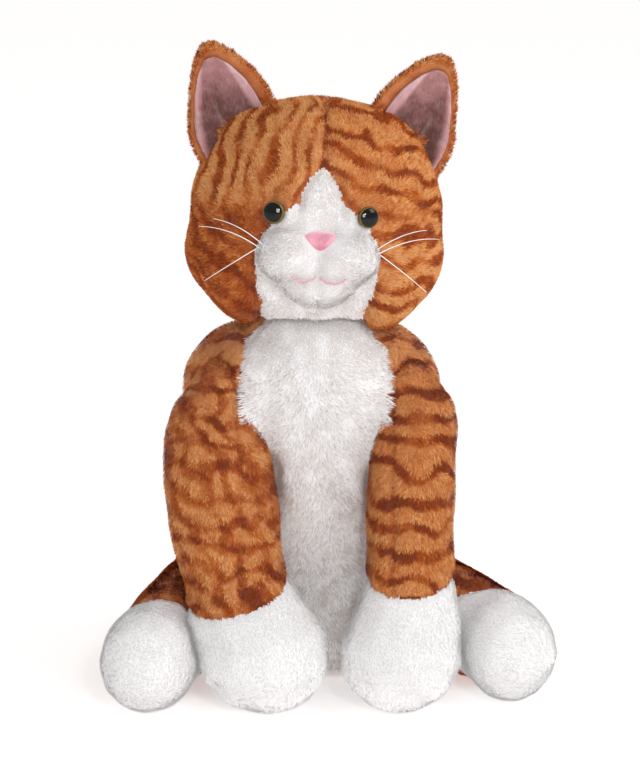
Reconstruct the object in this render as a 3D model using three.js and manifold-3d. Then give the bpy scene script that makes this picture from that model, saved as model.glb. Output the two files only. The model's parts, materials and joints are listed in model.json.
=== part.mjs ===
// A seated plush cat, about 400 mm tall, made of pile-fabric panels over separate stuffing pieces.
// Millimetres, +Z up. The origin is on the floor under the neck, at the middle of the seat.
// The cat faces -Y, so +X is its own left side.
import * as THREE from "three";
import { mergeVertices } from "three/addons/utils/BufferGeometryUtils.js";
import Module from "manifold-3d";

const wasm = await Module();
wasm.setup();

// ---------------------------------------------------------------- driving dimensions
const FABRIC = 2.5; // pile fabric, backing and short nap together
const GAP = 0.3; // clearance between touching pieces
const CORE = FABRIC + GAP; // how far the stuffing lies under the outer surface
const LIMB_GAP = 0.6; // clearance of the torso from a limb that lies against it
const SOCKET_GAP = 2.5; // clearance around a round end that turns in its hollow
const SIDES = { left: 1, right: -1 };

const NECK = new THREE.Vector3(0, 2, 205); // centre of the neck ball
const NECK_RADIUS = 41;

const HEAD_HALF = new THREE.Vector3(80.5, 66, 74); // half width, depth and height
const HEAD_AT = new THREE.Vector3(-5, -2, 87.5); // head centre from the neck ball
const HEAD_ROLL = 3.5; // degrees, the head leans to the cat's left
const HEAD_YAW = 2; // degrees, the face turns to the cat's left
const EYE_SPREAD = 25.3; // half distance between the eyes
const EYE_RISE = 8; // eyes above the head centre
const EYE_RADIUS = 6.8;

const SHOULDER = { left: [62, -27, 168], right: [-62, -27, 168] };
const HIP = { left: [67, 22, 37], right: [-67, 22, 37] };
const PAW = { left: [51.5, -78, 34], right: [-31, -78, 34] };
const FOOT = { left: [118.5, -64, 33], right: [-101.5, -84, 33] };
const PAW_HALF = { left: [37, 38], right: [39, 38] }; // half width and length
const FOOT_HALF = [30, 33]; // half width and height
const SHOULDER_RADIUS = 29;
const HIP_RADIUS = 36;
const TAIL_ROOT = new THREE.Vector3(0, 90, 19);
const TAIL_RADIUS = 15;
const LEG_SEAM_X = 45; // the front seam of each front leg, from the middle

// Angles across each joint's range, in degrees, at which the torso is cleared for what moves.
const SHOULDER_STEPS = [0, 10, 20, 30, 40, 50, 60];
const HIP_STEPS = [0, 12, 24, 35];
const TAIL_STEPS = [-10, 0, 10, 20, 30, 40];
const NOD_STEPS = [-8, -4, 0, 4, 8, 12];
const TURN_STEPS = [-25, -12.5, 0, 12.5, 25];

// ---------------------------------------------------------------- materials
function material(color, roughness) {
  return new THREE.MeshStandardMaterial({ color, roughness, metalness: 0 });
}

const ginger = material(0xb5652a, 0.95);
const white = material(0xf4f2ee, 0.95);
const satin = material(0xc9a0ad, 0.5);
const noseSatin = material(0xe58f97, 0.45);
const mouthThread = material(0xe0808c, 0.6);
const eyePlastic = material(0x14100c, 0.08);
const washerPlastic = material(0xe6e2d8, 0.5);
const fibre = material(0xe9e7e1, 1);
const pouchCloth = material(0xcfc8b8, 0.9);
const thread = material(0xf7f7f7, 0.7);

// ---------------------------------------------------------------- solids
// A closed three.js geometry as a solid that can be joined and cut.
function solid(geometry) {
  const bare = geometry.clone();
  bare.deleteAttribute("normal");
  bare.deleteAttribute("uv");
  const merged = mergeVertices(bare, 1e-4);
  const mesh = new wasm.Mesh({
    numProp: 3,
    vertProperties: new Float32Array(merged.attributes.position.array),
    triVerts: new Uint32Array(merged.index.array),
  });
  return new wasm.Manifold(mesh);
}

// A solid as a named mesh with its own copy of a material.
function piece(name, body, look) {
  const { numProp, numVert, vertProperties, triVerts } = body.getMesh();
  const position = new Float32Array(numVert * 3);
  for (let i = 0; i < numVert; i++) {
    position.set(vertProperties.subarray(i * numProp, i * numProp + 3), i * 3);
  }
  const geometry = new THREE.BufferGeometry();
  geometry.setAttribute("position", new THREE.BufferAttribute(position, 3));
  geometry.setIndex(new THREE.BufferAttribute(new Uint32Array(triVerts), 1));
  geometry.computeVertexNormals();
  const mesh = new THREE.Mesh(geometry, look.clone());
  mesh.name = name;
  return mesh;
}

// What lies beyond a plane through a point, on the side that the normal points to.
function beyond(body, point, normal, gap = GAP / 2) {
  const n = new THREE.Vector3(...normal).normalize();
  return body.trimByPlane(n.toArray(), n.dot(new THREE.Vector3(...point)) + gap);
}

function before(body, point, normal) {
  return beyond(body, point, normal.map((v) => -v));
}

function ellipsoid(centre, half, inset, around = 14, rings = 8) {
  const sphere = new THREE.SphereGeometry(1, around, rings);
  sphere.rotateX(Math.PI / 2);
  sphere.scale(...half.map((h) => h - inset));
  sphere.translate(...centre);
  return solid(sphere);
}

function ball(centre, radius, around = 14, rings = 8) {
  return ellipsoid(centre, [radius, radius, radius], 0, around, rings);
}

// A stuffed tube through stations { at, half: [across, other] } with domed ends.
// Each ring stands square to the path, and its first half size runs along `across`.
function stuffedTube(stations, across, inset, sides = 12, steps = 5) {
  const path = new THREE.CatmullRomCurve3(stations.map((s) => new THREE.Vector3(...s.at)));
  const sizes = new THREE.CatmullRomCurve3(
    stations.map((s) => new THREE.Vector3(s.half[0] - inset, s.half[1] - inset, 0)),
  );
  const DOME = [0.93, 0.55]; // sines of the dome's ring angles
  const rings = [];
  const addRing = (t, along) => {
    const tangent = path.getTangent(t);
    const size = sizes.getPoint(t);
    const shrink = Math.sqrt(1 - along * along);
    const centre = path.getPoint(t).addScaledVector(tangent, along * Math.min(size.x, size.y));
    const u = across.clone().addScaledVector(tangent, -across.dot(tangent)).normalize();
    const v = tangent.clone().cross(u);
    rings.push({ centre, u: u.multiplyScalar(size.x * shrink), v: v.multiplyScalar(size.y * shrink) });
  };
  DOME.forEach((sine) => addRing(0, -sine));
  for (let i = 0; i <= steps; i++) addRing(i / steps, 0);
  DOME.toReversed().forEach((sine) => addRing(1, sine));

  const positions = [];
  for (const { centre, u, v } of rings) {
    for (let k = 0; k < sides; k++) {
      const turn = (2 * Math.PI * k) / sides;
      const point = centre.clone().addScaledVector(u, Math.cos(turn)).addScaledVector(v, Math.sin(turn));
      positions.push(...point.toArray());
    }
  }
  const pole = (t, direction) => {
    const size = sizes.getPoint(t);
    const reach = direction * Math.min(size.x, size.y);
    return path.getPoint(t).addScaledVector(path.getTangent(t), reach).toArray();
  };
  positions.push(...pole(0, -1), ...pole(1, 1));

  const startPole = rings.length * sides;
  const faces = [];
  for (let k = 0; k < sides; k++) {
    const next = (k + 1) % sides;
    const last = (rings.length - 1) * sides;
    faces.push(startPole, next, k, startPole + 1, last + k, last + next);
    for (let r = 0; r < rings.length - 1; r++) {
      const a = r * sides + k;
      const b = r * sides + next;
      faces.push(a, b, b + sides, a, b + sides, a + sides);
    }
  }
  const geometry = new THREE.BufferGeometry();
  geometry.setAttribute("position", new THREE.Float32BufferAttribute(positions, 3));
  geometry.setIndex(faces);
  return solid(geometry);
}

// The skin between a shape and the same shape drawn in by the fabric's thickness.
function skinOf(shape) {
  return shape(0).subtract(shape(FABRIC));
}

// A flat outline in the XZ plane, pushed from `back` to `front` along -Y.
function facing(outline, back, front) {
  const prism = new THREE.ExtrudeGeometry(outline, {
    depth: back - front,
    bevelEnabled: false,
    curveSegments: 4,
  });
  prism.rotateX(Math.PI / 2);
  prism.translate(0, back, 0);
  return solid(prism);
}

// Turns a geometry made along +Z to run along a direction from a point.
function aimed(geometry, at, direction) {
  const turn = new THREE.Quaternion().setFromUnitVectors(new THREE.Vector3(0, 0, 1), direction);
  return geometry.applyQuaternion(turn).translate(at.x, at.y, at.z);
}

// A solid of revolution about +Z from [radius, height] points that start and end on the axis.
function turned(points, sides = 8) {
  const profile = points.map(([radius, height]) => new THREE.Vector2(radius, height));
  return new THREE.LatheGeometry(profile, sides).rotateX(Math.PI / 2);
}

const X = new THREE.Vector3(1, 0, 0);
const Z = new THREE.Vector3(0, 0, 1);

// ---------------------------------------------------------------- limbs
function frontLeg(side, inset) {
  const shoulder = SHOULDER[side];
  const paw = PAW[side];
  const half = side === "left" ? 31.5 : 35;
  const lean = paw[0] - shoulder[0];
  const stations = [
    { at: shoulder, half: [SHOULDER_RADIUS, SHOULDER_RADIUS] },
    { at: [shoulder[0] + 0.25 * lean, -45, 126], half: [half, 31] },
    { at: [shoulder[0] + 0.35 * lean, -56, 91], half: [half - 1.5, 30] },
    { at: [shoulder[0] + 0.6 * lean, -65, 62], half: [half, 31] },
    { at: paw, half: PAW_HALF[side] },
  ];
  return beyond(stuffedTube(stations, X, inset, 12, 6), [0, 0, inset], [0, 0, 1], 0);
}

function hindLeg(side, inset) {
  const hip = HIP[side];
  const foot = FOOT[side];
  const stations = [
    { at: hip, half: [HIP_RADIUS, HIP_RADIUS] },
    { at: [0.5 * (hip[0] + foot[0]), -18, 36], half: [29, 34] },
    { at: [0.2 * hip[0] + 0.8 * foot[0], foot[1] + 26, 34], half: [28, 32] },
    { at: foot, half: FOOT_HALF },
  ];
  return beyond(stuffedTube(stations, X, inset), [0, 0, inset], [0, 0, 1], 0);
}

function tailShape(inset) {
  const root = TAIL_ROOT;
  const stations = [
    { at: root.toArray(), half: [TAIL_RADIUS, TAIL_RADIUS] },
    { at: [root.x + 10, root.y + 24, 17], half: [15, 15] },
    { at: [root.x + 38, root.y + 38, 15.5], half: [14, 14] },
    { at: [root.x + 64, root.y + 32, 14.5], half: [13, 13] },
  ];
  return stuffedTube(stations, Z, inset, 10, 5);
}

// ---------------------------------------------------------------- torso
function torsoShape(inset) {
  const section = (z, halfWidth, front, back) => ({
    at: [0, (front + back) / 2, z],
    half: [halfWidth, (back - front) / 2],
  });
  const stations = [
    section(12, 78, -27, 84),
    section(50, 86, -34, 91),
    section(95, 83, -38, 82),
    section(140, 80, -43, 70),
    section(178, 77, -49, 58),
    section(203, 70, -47, 50),
    section(220, 55, -38, 42),
  ];
  const pear = stuffedTube(stations, X, inset, 18, 7);
  const standing = beyond(pear, [0, 0, inset], [0, 0, 1], 0);
  const NECK_LINE = 226; // the torso's fabric ends here, under the head
  return before(standing, [0, 0, NECK_LINE - inset], [0, 0, 1]);
}

// A body turned about a point, by degrees about the X, Y and Z axes in that order.
function turnedAbout(body, at, degrees) {
  return body.translate(at.map((v) => -v)).rotate(degrees).translate(at);
}

// What the limbs and the head pass through as they move, in steps across each joint's range.
function sweptSpace() {
  const shapes = [];
  for (const [side, sign] of Object.entries(SIDES)) {
    for (const swing of SHOULDER_STEPS) {
      shapes.push(turnedAbout(frontLeg(side, -LIMB_GAP), SHOULDER[side], [-swing, 0, 0]));
    }
    for (const splay of HIP_STEPS) {
      shapes.push(turnedAbout(hindLeg(side, -LIMB_GAP), HIP[side], [0, 0, sign * splay]));
    }
    shapes.push(ball(SHOULDER[side], SHOULDER_RADIUS + SOCKET_GAP));
    shapes.push(ball(HIP[side], HIP_RADIUS + SOCKET_GAP));
  }
  for (const swing of TAIL_STEPS) {
    shapes.push(turnedAbout(tailShape(-LIMB_GAP), TAIL_ROOT.toArray(), [0, 0, swing]));
  }
  for (const nod of NOD_STEPS) {
    for (const turn of TURN_STEPS) {
      const head = headShape(-LIMB_GAP).rotate([0, 0, HEAD_YAW]).rotate([0, HEAD_ROLL, 0]);
      shapes.push(head.rotate([0, 0, turn]).rotate([nod, 0, 0]).translate(NECK.toArray()));
    }
  }
  shapes.push(ball(TAIL_ROOT.toArray(), TAIL_RADIUS + SOCKET_GAP, 12, 8));
  shapes.push(ball(NECK.toArray(), NECK_RADIUS + SOCKET_GAP));
  return wasm.Manifold.union(shapes);
}

// The largest of the bodies that a cut leaves; slivers beside a limb are dropped.
function largest(body) {
  return body.decompose().sort((a, b) => b.volume() - a.volume())[0];
}

function addTorso(group) {
  const CHEST_HALF = 44; // half width of the white front panel
  const CHEST_BACK = -10; // it reaches back to here
  const SEAT_TOP = 12; // the seat panel turns up to here
  const swept = sweptSpace(); // the torso gives way to everything that moves against it
  const skin = skinOf(torsoShape).subtract(swept);
  const seat = before(skin, [0, 0, SEAT_TOP], [0, 0, 1]);
  const walls = beyond(skin, [0, 0, SEAT_TOP], [0, 0, 1]);
  const chestZone = (grow) => {
    const zone = new THREE.BoxGeometry(2 * (CHEST_HALF + grow), 200, 600);
    return solid(zone.translate(0, CHEST_BACK + grow - 100, 0));
  };
  group.add(piece("chest_panel", largest(walls.intersect(chestZone(-GAP / 2))), white));
  group.add(piece("seat_panel", largest(seat), ginger));
  for (const [side, sign] of Object.entries(SIDES)) {
    const half = beyond(walls, [0, 0, 0], [sign, 0, 0]);
    group.add(piece(`torso_panel_${side}`, largest(half.subtract(chestZone(GAP / 2))), ginger));
  }
  const POUCH = { at: [0, 28, 8], half: [34, 32, 14] };
  const pouch = beyond(ellipsoid(POUCH.at, POUCH.half, 0, 12, 6), [0, 0, CORE + GAP], [0, 0, 1], 0);
  const pocket = ellipsoid(POUCH.at, POUCH.half, -2 * GAP, 12, 6);
  const filling = torsoShape(CORE).subtract(swept).subtract(pocket);
  group.add(piece("torso_stuffing", largest(filling), fibre));
  group.add(piece("pellet_pouch", pouch, pouchCloth));
}

// ---------------------------------------------------------------- front and hind legs
function addFrontLeg(group, side) {
  const sign = SIDES[side];
  const skin = skinOf((inset) => frontLeg(side, inset));
  const cuff = [PAW[side][0], -64, side === "left" ? 78 : 74];
  const cuffNormal = side === "left" ? [0, -0.12, 1] : [-0.3, -0.12, 1];
  const sleeve = beyond(skin, cuff, cuffNormal);
  const seam = [sign * LEG_SEAM_X, 0, 0];
  group.add(piece(`front_leg_${side}_outer_panel`, largest(beyond(sleeve, seam, [sign, 0, 0])), ginger));
  group.add(piece(`front_leg_${side}_inner_panel`, largest(before(sleeve, seam, [sign, 0, 0])), ginger));
  group.add(piece(`front_paw_${side}`, largest(before(skin, cuff, cuffNormal)), white));
  group.add(piece(`front_leg_${side}_stuffing`, frontLeg(side, CORE), fibre));
}

function addHindLeg(group, side) {
  const clear = (body) => body.subtract(frontLeg(side, -2 * LIMB_GAP));
  const skin = clear(skinOf((inset) => hindLeg(side, inset)));
  const ankle = [0, FOOT[side][1] + 26, 0];
  group.add(piece(`hind_leg_${side}_thigh`, largest(beyond(skin, ankle, [0, 1, 0])), ginger));
  group.add(piece(`hind_foot_${side}`, largest(before(skin, ankle, [0, 1, 0])), white));
  group.add(piece(`hind_leg_${side}_stuffing`, largest(clear(hindLeg(side, CORE))), fibre));
}

function addTail(group) {
  const open = [0, TAIL_ROOT.y - 4, 0];
  const skin = beyond(skinOf(tailShape), open, [0, 1, 0]);
  group.add(piece("tail_sleeve", largest(skin), ginger));
  group.add(piece("tail_stuffing", tailShape(CORE), fibre));
}

// ---------------------------------------------------------------- head, in its own frame at the neck
const HEAD_LOBES = [
  { at: [36, -8, -30], half: [38, 46, 42] }, // cheeks
  { at: [-36, -8, -30], half: [38, 46, 42] },
  { at: [17, -53, -16], half: [24, 27, 21] }, // muzzle
  { at: [-17, -53, -16], half: [24, 27, 21] },
  { at: [0, -50, -32], half: [26, 24, 20] }, // chin
];

function headShape(inset) {
  let head = ellipsoid(HEAD_AT.toArray(), HEAD_HALF.toArray(), inset, 18, 11);
  for (const lobe of HEAD_LOBES) {
    const centre = new THREE.Vector3(...lobe.at).add(HEAD_AT);
    head = head.add(ellipsoid(centre.toArray(), lobe.half, inset, 12, 7));
  }
  return head;
}

// Blaze, muzzle and chin outline, seen from the front and measured from the head centre.
function muzzleOutline() {
  const outline = new THREE.Shape();
  outline.moveTo(0, 36);
  outline.bezierCurveTo(9, 30, 12, 22, 14, 11);
  outline.bezierCurveTo(18, 4, 38, 2, 39, -18);
  outline.bezierCurveTo(39, -34, 34, -44, 30, -52);
  outline.lineTo(30, -80);
  outline.lineTo(-30, -80);
  outline.lineTo(-30, -52);
  outline.bezierCurveTo(-34, -44, -39, -34, -39, -18);
  outline.bezierCurveTo(-38, 2, -18, 4, -14, 11);
  outline.bezierCurveTo(-12, 22, -9, 30, 0, 36);
  return outline;
}

// Rounded triangle, point down.
function noseOutline() {
  const outline = new THREE.Shape();
  outline.moveTo(-7, 5.5);
  outline.quadraticCurveTo(0, 7, 7, 5.5);
  outline.quadraticCurveTo(12, 4, 8, 0);
  outline.quadraticCurveTo(4, -5.5, 0, -5.5);
  outline.quadraticCurveTo(-4, -5.5, -8, 0);
  outline.quadraticCurveTo(-12, 4, -7, 5.5);
  return outline;
}

// A thin smile arc from the inner end to the cheek.
function mouthOutline(sign) {
  const THREAD = 1.6;
  const inner = new THREE.Vector2(2 * sign, 0);
  const outer = new THREE.Vector2(16 * sign, 2);
  const sag = new THREE.Vector2(8 * sign, -8);
  const outline = new THREE.Shape();
  outline.moveTo(inner.x, inner.y);
  outline.quadraticCurveTo(sag.x, sag.y, outer.x, outer.y);
  outline.lineTo(outer.x, outer.y - THREAD);
  outline.quadraticCurveTo(sag.x, sag.y - THREAD, inner.x, inner.y - THREAD);
  return outline;
}

// A patch of a given thickness that lies on the head's surface inside an outline.
function patch(outline, at, thickness) {
  const FACE_BACK = -45;
  const FACE_FRONT = -110;
  const prism = facing(outline, FACE_BACK, FACE_FRONT).translate(HEAD_AT.x + at[0], 0, HEAD_AT.z + at[1]);
  return largest(headShape(-GAP - thickness).subtract(headShape(-GAP)).intersect(prism));
}

function surfacePoint(x, z) {
  const { x: a, y: b, z: c } = HEAD_HALF;
  const y = -b * Math.sqrt(1 - (x / a) ** 2 - (z / c) ** 2);
  const normal = new THREE.Vector3(x / a ** 2, y / b ** 2, z / c ** 2).normalize();
  return { at: new THREE.Vector3(x, y, z).add(HEAD_AT), normal };
}

// A domed safety eye on a shank, made along +Z with the fabric's surface at zero.
function eyeSolid(sign, grow) {
  const LIFT = 0.8; // the flange clears the curved fabric
  const SHANK = 2;
  const SHANK_LENGTH = 15;
  const profile = [
    [0, -SHANK_LENGTH - grow],
    [SHANK + grow, -SHANK_LENGTH - grow],
    [SHANK + grow, LIFT],
    [EYE_RADIUS - 0.8, LIFT],
    [EYE_RADIUS, LIFT + 1],
    [EYE_RADIUS - 0.9, LIFT + 3],
    [EYE_RADIUS / 2, LIFT + 4.6],
    [0, LIFT + 5],
  ];
  const { at, normal } = surfacePoint(sign * EYE_SPREAD, EYE_RISE);
  return solid(aimed(turned(profile), at, normal));
}

function washerSolid(sign, grow) {
  const HOLE = 2 + GAP;
  const profile = [
    [HOLE - grow, -9 - grow],
    [8 + grow, -9 - grow],
    [8 + grow, -7.5 + grow],
    [HOLE - grow, -7.5 + grow],
    [HOLE - grow, -9 - grow],
  ];
  const { at, normal } = surfacePoint(sign * EYE_SPREAD, EYE_RISE);
  return solid(aimed(turned(profile), at, normal));
}

// Outline of one ear in its own plane: across, up; zero at the middle of its base.
function earOutline(margin) {
  const half = 30 - margin;
  const tip = 52 - 1.6 * margin;
  const outline = new THREE.Shape();
  outline.moveTo(-half, -14 + margin);
  outline.bezierCurveTo(-half, 18, -12, tip - 6, -5, tip - 1);
  outline.quadraticCurveTo(0, tip + 2, 5, tip - 1);
  outline.bezierCurveTo(12, tip - 6, half, 18, half, -14 + margin);
  outline.lineTo(-half, -14 + margin);
  return outline;
}

// A cupped plate: the ear's outline cut out of a hollow ball whose centre is in front of the ear.
function earPlate(sign, margin, inner, outer) {
  const CUP = 62;
  const LEAN = 22; // degrees, the ear leans outward
  const EAR_AT = [51, 2, 50]; // middle of the base, from the head centre
  const cup = ball([0, -CUP, 16], CUP + outer, 26, 14).subtract(ball([0, -CUP, 16], CUP + inner, 26, 14));
  const plate = facing(earOutline(margin), 30, -14).intersect(cup);
  return plate
    .rotate(0, sign * LEAN, 0)
    .rotate(0, 0, sign * 8)
    .translate(HEAD_AT.x + sign * EAR_AT[0], HEAD_AT.y + EAR_AT[1], HEAD_AT.z + EAR_AT[2])
    .subtract(headShape(-GAP));
}

function whiskerSolid(sign, root, tip, rise) {
  const RADIUS = 0.55;
  const start = new THREE.Vector3(sign * root[0], root[1], root[2]).add(HEAD_AT);
  const end = new THREE.Vector3(sign * tip[0], tip[1], tip[2]).add(HEAD_AT);
  const middle = start.clone().lerp(end, 0.5).add(new THREE.Vector3(0, -3, rise));
  const section = new THREE.Shape().absarc(0, 0, RADIUS, 0, 2 * Math.PI);
  const tube = new THREE.ExtrudeGeometry(section, {
    extrudePath: new THREE.QuadraticBezierCurve3(start, middle, end),
    steps: 5,
    curveSegments: 2,
  });
  return solid(tube);
}

function addHead(group) {
  const prism = facing(muzzleOutline(), -12, -110).translate(HEAD_AT.x, 0, HEAD_AT.z);
  const wider = prism.translate(GAP, 0, 0).add(prism.translate(-GAP, 0, 0)).add(prism.translate(0, 0, GAP));
  const socket = ball([0, 0, 0], NECK_RADIUS + SOCKET_GAP);
  const eyes = Object.values(SIDES).map((sign) => eyeSolid(sign, GAP).add(washerSolid(sign, GAP)));
  const withHoles = (body) => eyes.reduce((left, eye) => left.subtract(eye), body.subtract(socket));
  const skin = withHoles(skinOf(headShape));
  const BACK_SEAM = [0, 8, 0];
  const face = before(skin, BACK_SEAM, [0, 1, 0]).subtract(wider);
  group.add(piece("head_back_panel", largest(beyond(skin, BACK_SEAM, [0, 1, 0])), ginger));
  group.add(piece("muzzle_panel", largest(skin.intersect(prism)), white));
  group.add(piece("head_stuffing", largest(withHoles(headShape(CORE))), fibre));
  group.add(piece("nose_patch", patch(noseOutline(), [0, -6.5], 1.4), noseSatin));
  const middle = [HEAD_AT.x, 0, 0];
  for (const [side, sign] of Object.entries(SIDES)) {
    group.add(piece(`face_panel_${side}`, largest(beyond(face, middle, [sign, 0, 0])), ginger));
    group.add(piece(`eye_${side}`, eyeSolid(sign, 0), eyePlastic));
    group.add(piece(`eye_washer_${side}`, washerSolid(sign, 0), washerPlastic));
    group.add(piece(`mouth_stitch_${side}`, patch(mouthOutline(sign), [0, -28], 0.9), mouthThread));
    group.add(piece(`ear_${side}_back`, largest(earPlate(sign, 0, 0.2, 4.4)), ginger));
    group.add(piece(`ear_${side}_lining`, largest(earPlate(sign, 4, -2.2, -0.2)), satin));
    const WHISKERS = {
      upper: [[38, -66, -9], [63, -58, 2], 4],
      middle: [[41, -63, -12], [71, -52, -4], 5],
      lower: [[42, -62, -18], [66, -54, -36], 3],
    };
    for (const [row, [root, tip, rise]] of Object.entries(WHISKERS)) {
      group.add(piece(`whisker_${side}_${row}`, whiskerSolid(sign, root, tip, rise), thread));
    }
  }
}

// ---------------------------------------------------------------- assembly
const cat = new THREE.Group();
const torso = new THREE.Group();
addTorso(torso);
for (const side of Object.keys(SIDES)) {
  addFrontLeg(torso, side);
  addHindLeg(torso, side);
}
addTail(torso);
torso.add(piece("neck_stuffing", ball(NECK.toArray(), NECK_RADIUS), fibre));

const head = new THREE.Group();
addHead(head);
head.position.copy(NECK);
head.rotation.set(0, THREE.MathUtils.degToRad(HEAD_ROLL), THREE.MathUtils.degToRad(HEAD_YAW));
cat.add(torso, head);

export default cat;
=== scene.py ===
"""Looks of the seated plush cat: stuffed plush panels with real pile, a sewn face and satin ears.

Every soft panel starts as a copy of its CAD node, so its place and outline come from the frame. The
copies of one stuffed part are joined into a skin, swollen by a cloth simulation with the seams held,
split again along the seams, and covered with pile strands that follow the ginger tabby pattern.
"""

import json
import math

import bpy
import numpy as np
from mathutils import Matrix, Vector
from mathutils.bvhtree import BVHTree


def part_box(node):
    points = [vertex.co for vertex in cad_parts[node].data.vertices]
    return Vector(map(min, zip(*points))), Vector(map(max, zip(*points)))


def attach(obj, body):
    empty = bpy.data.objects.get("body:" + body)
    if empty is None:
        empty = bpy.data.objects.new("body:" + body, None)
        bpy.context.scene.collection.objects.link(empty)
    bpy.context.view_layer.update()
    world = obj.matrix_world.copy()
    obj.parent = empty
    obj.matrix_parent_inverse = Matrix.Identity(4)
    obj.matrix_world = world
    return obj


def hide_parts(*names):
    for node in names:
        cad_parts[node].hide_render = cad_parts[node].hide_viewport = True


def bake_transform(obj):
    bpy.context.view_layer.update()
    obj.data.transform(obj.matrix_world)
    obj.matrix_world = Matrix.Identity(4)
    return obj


MM = 0.001
SIDES = {"left": 1, "right": -1}  # the cat's left is +X

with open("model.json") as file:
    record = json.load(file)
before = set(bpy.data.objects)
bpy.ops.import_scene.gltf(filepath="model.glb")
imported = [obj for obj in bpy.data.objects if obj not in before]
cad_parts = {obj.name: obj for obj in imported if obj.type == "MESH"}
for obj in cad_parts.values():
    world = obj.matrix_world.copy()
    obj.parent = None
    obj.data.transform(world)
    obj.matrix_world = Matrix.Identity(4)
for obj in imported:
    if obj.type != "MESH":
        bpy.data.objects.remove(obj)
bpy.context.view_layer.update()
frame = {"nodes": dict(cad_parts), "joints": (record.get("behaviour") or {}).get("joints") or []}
JOINTS = {joint["name"]: np.array(joint["pos_m"]) for joint in frame["joints"]}
NECK = JOINTS["neck_turn"]


# ---------- places taken from the frame
def box_middle(node):
    low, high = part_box(node)
    return (np.array(low) + np.array(high)) / 2


def unit(vector):
    return vector / np.linalg.norm(vector)


# The head's own axes: X runs from the right eye to the left one, Y to the back and Z up.
BEHIND_EYES = 62 * MM
BELOW_EYES = 8 * MM
EYE_MIDDLE = (box_middle("eye_left") + box_middle("eye_right")) / 2
HEAD_X = unit(box_middle("eye_left") - box_middle("eye_right"))
HEAD_Y = unit(np.cross((0, 0, 1), HEAD_X))
HEAD_Z = np.cross(HEAD_X, HEAD_Y)
HEAD_MIDDLE = EYE_MIDDLE + BEHIND_EYES * HEAD_Y - BELOW_EYES * HEAD_Z
HEAD_AXES = np.array([HEAD_X, HEAD_Y, HEAD_Z])
EAR_FOOT = (51, 2, 50)  # in millimetres along these axes, for the left ear


def in_head(points):
    """Points in metres as millimetres from the middle of the head, along the head's own axes."""
    return (points - HEAD_MIDDLE) @ HEAD_AXES.T / MM


def on_head(x, y, z):
    """A point given in millimetres along the head's own axes, in metres in the frame."""
    return HEAD_MIDDLE + (np.array((x, y, z)) * MM) @ HEAD_AXES


# ---------- camera
def add_camera():
    DISTANCE = 1.5
    ELEVATION = math.radians(12.5)
    LOOKS_AT = Vector((0.0025, 0, 0.1806))
    camera = bpy.data.objects.new("camera", bpy.data.cameras.new("camera"))
    camera.data.lens = 111.5
    camera.data.sensor_width = 36
    camera.data.clip_end = 100
    back = -DISTANCE * math.cos(ELEVATION)
    camera.location = (LOOKS_AT.x, back, 0.2 + DISTANCE * math.sin(ELEVATION))
    camera.rotation_euler = (LOOKS_AT - camera.location).to_track_quat("-Z", "Y").to_euler()
    bpy.context.scene.collection.objects.link(camera)
    bpy.context.scene.camera = camera


add_camera()


# ---------- noise and small maths
LATTICE = np.random.default_rng(11).random((32, 32, 32))


def noise(points, cell, shift=0):
    """Smooth noise from 0 to 1 at the points, with lumps about one cell wide."""
    p = points / cell + 7.31 * shift
    base = np.floor(p).astype(int)
    f = p - base
    f = f * f * (3 - 2 * f)
    total = np.zeros(len(points))
    for corner in np.ndindex(2, 2, 2):
        x, y, z = ((base + corner) % 32).T
        weight = np.prod(np.where(np.array(corner) == 1, f, 1 - f), axis=1)
        total += weight * LATTICE[x, y, z]
    return total


def swirl(points, cell, shift=0):
    """A smooth random vector field, each part from -1 to 1."""
    return np.stack([2 * noise(points, cell, shift + k) - 1 for k in (0, 3, 5)], axis=1)


def smoothstep(low, high, value):
    t = np.clip((value - low) / (high - low), 0, 1)
    return t * t * (3 - 2 * t)


def normalised(vectors):
    return vectors / np.maximum(np.linalg.norm(vectors, axis=1, keepdims=True), 1e-12)


def srgb(red, green, blue, alpha=1.0):
    """A colour given as 0 to 255 screen values, as linear light."""
    channels = np.array((red, green, blue)) / 255
    linear = np.where(channels <= 0.04045, channels / 12.92, ((channels + 0.055) / 1.055) ** 2.4)
    return (*[float(c) for c in linear], alpha)


# ---------- tabby pattern
def bands(points, across, spacing, wobble, shift):
    """Dark bands from 0 to 1. Across is the direction that crosses them, spacing is in millimetres."""
    warp = wobble * (noise(points, 17, shift) - 0.5) + 0.3 * wobble * (noise(points, 6, shift + 1) - 0.5)
    phase = (points @ unit(np.array(across, float)) + warp) / spacing
    broken = 0.45 + 0.55 * smoothstep(0.25, 0.6, noise(points, 13, shift + 2))
    return smoothstep(-0.1, 0.75, np.cos(2 * math.pi * phase)) * broken


def mottle(points, shift):
    return 0.6 * noise(points, 9, shift) + 0.4 * noise(points, 4, shift + 1)


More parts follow.
